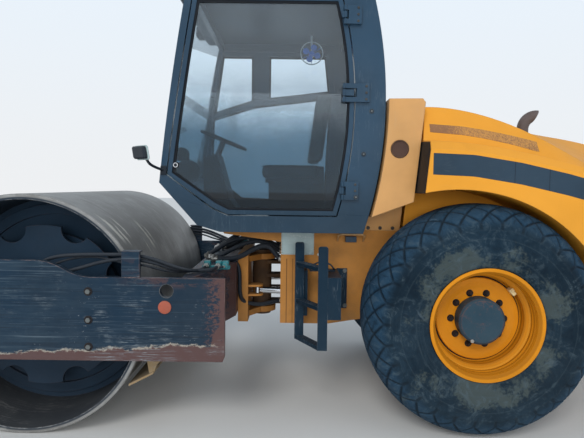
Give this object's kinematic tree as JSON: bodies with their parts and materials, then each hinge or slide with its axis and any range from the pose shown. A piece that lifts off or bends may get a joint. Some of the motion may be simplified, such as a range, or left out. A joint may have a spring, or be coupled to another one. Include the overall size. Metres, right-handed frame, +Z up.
{
  "type": "single-drum road roller",
  "caption": "Ride-on soil compactor with a smooth steel drum in a steerable front frame, a glazed cab, a tilting rear hood and large rear tyres.",
  "frame": {"origin": "on the ground, midway along the overall length and width", "axes": "+X forward towards the drum, +Y to the machine's left, +Z up"},
  "size_m": [5.73, 2.3, 3.0582],
  "materials": {
    "drum_steel": "worn bright in streaks, dusty",
    "drum_inner": "dark, dusty",
    "blue_paint": "scratched dark blue-grey paint",
    "yellow_paint": "worn semi-gloss orange-yellow paint",
    "hood_orange": "faded gloss orange-yellow",
    "tank_orange": "faded tan-orange",
    "black_iron": "dark, dusty and oily",
    "rod_chrome": "polished",
    "tyre": "dusty rubber",
    "roof_plastic": "satin",
    "window_glass": "clear",
    "engine_iron": "dark",
    "radiator_alloy": "dusty",
    "lamp_red": "gloss",
    "black_plastic": "matte",
    "fan_plastic": "matte",
    "seat_cloth": "woven"
  },
  "bodies": {
    "rear_body": {"pivot_housing": "yellow_paint", "rear_frame": "yellow_paint", "rear_axle": "black_iron", "cab_floor": "blue_paint", "cab_frame": "blue_paint", "cab_roof": "roof_plastic", "cab_back_wall": "blue_paint", "right_wall": "blue_paint", "cab_glass": "window_glass", "tank_cover": "tank_orange", "engine_block": "engine_iron", "radiator": "radiator_alloy", "counterweight": "black_iron", "ladder": "black_iron", "ladder_bracket": "black_iron", "mirrors": "black_plastic", "lamp_guard": "yellow_paint", "seat_base": "black_plastic", "seat_cushions": "seat_cloth", "steering_console": "black_plastic", "cab_fan": "fan_plastic", "work_lamps": "black_plastic"},
    "front_frame": {"drum_frame": "blue_paint", "drum_carrier_left": "black_iron", "drum_carrier_right": "black_iron", "drum_mounts": "black_iron", "drum_scrapers": "yellow_paint", "pivot_yoke": "yellow_paint"},
    "drum": {"drum_shell": "drum_steel", "drum_webs": "drum_inner"},
    "wheel_left": {"tyre_left": "tyre", "rim_left": "yellow_paint", "hub_left": "black_iron"},
    "wheel_right": {"tyre_right": "tyre", "rim_right": "yellow_paint", "hub_right": "black_iron"},
    "hood": {"hood_shell": "hood_orange", "rear_grille": "black_iron", "exhaust_tail": "black_iron", "tail_lamps": "lamp_red"},
    "door": {"door_frame": "blue_paint", "door_glass": "window_glass"},
    "barrel_left": {"steering_barrel_left": "black_iron"},
    "rod_left": {"steering_rod_left": "rod_chrome"},
    "barrel_right": {"steering_barrel_right": "black_iron"},
    "rod_right": {"steering_rod_right": "rod_chrome"}
  },
  "joints": [
    {"name": "steer", "type": "hinge", "parent": "rear_body", "child": "front_frame", "pos_m": [0.45, 0, 0.81], "axis": [0, 0, 1], "range_deg": [-35, 35]},
    {"name": "drum_spin", "type": "hinge", "parent": "front_frame", "child": "drum", "pos_m": [1.885, 0, 0.76], "axis": [0, 1, 0], "continuous": true},
    {"name": "wheel_spin_left", "type": "hinge", "parent": "rear_body", "child": "wheel_left", "pos_m": [-1, 0.856, 0.745], "axis": [0, 1, 0], "continuous": true},
    {"name": "wheel_spin_right", "type": "hinge", "parent": "rear_body", "child": "wheel_right", "pos_m": [-1, -0.856, 0.745], "axis": [0, 1, 0], "continuous": true},
    {"name": "hood_tilt", "type": "hinge", "parent": "rear_body", "child": "hood", "pos_m": [-2.8, 0, 1.05], "axis": [0, -1, 0], "range_deg": [0, 55]},
    {"name": "door_swing", "type": "hinge", "parent": "rear_body", "child": "door", "pos_m": [-0.12, 0.822, 2.1], "axis": [0, 0, 1], "range_deg": [0, 95]},
    {"name": "barrel_left_swing", "type": "hinge", "parent": "rear_body", "child": "barrel_left", "pos_m": [-0.25, 0.4, 0.795], "axis": [0, 0, 1], "range_deg": [-3, 3]},
    {"name": "barrel_right_swing", "type": "hinge", "parent": "rear_body", "child": "barrel_right", "pos_m": [-0.25, -0.4, 0.795], "axis": [0, 0, 1], "range_deg": [-3, 3]},
    {"name": "rod_left_slide", "type": "slide", "parent": "barrel_left", "child": "rod_left", "axis": [0.9885, -0.151, 0], "range_m": [-0.1655, 0.1655]},
    {"name": "rod_right_slide", "type": "slide", "parent": "barrel_right", "child": "rod_right", "axis": [0.9885, 0.151, 0], "range_m": [-0.1655, 0.1655]}
  ],
  "couplings": [
    {"joint": "barrel_left_swing", "follows": "steer", "ratio": -0.06},
    {"joint": "barrel_right_swing", "follows": "steer", "ratio": -0.06},
    {"joint": "rod_left_slide", "follows": "steer", "m_per_rad": -0.2693},
    {"joint": "rod_right_slide", "follows": "steer", "m_per_rad": 0.2693}
  ]
}
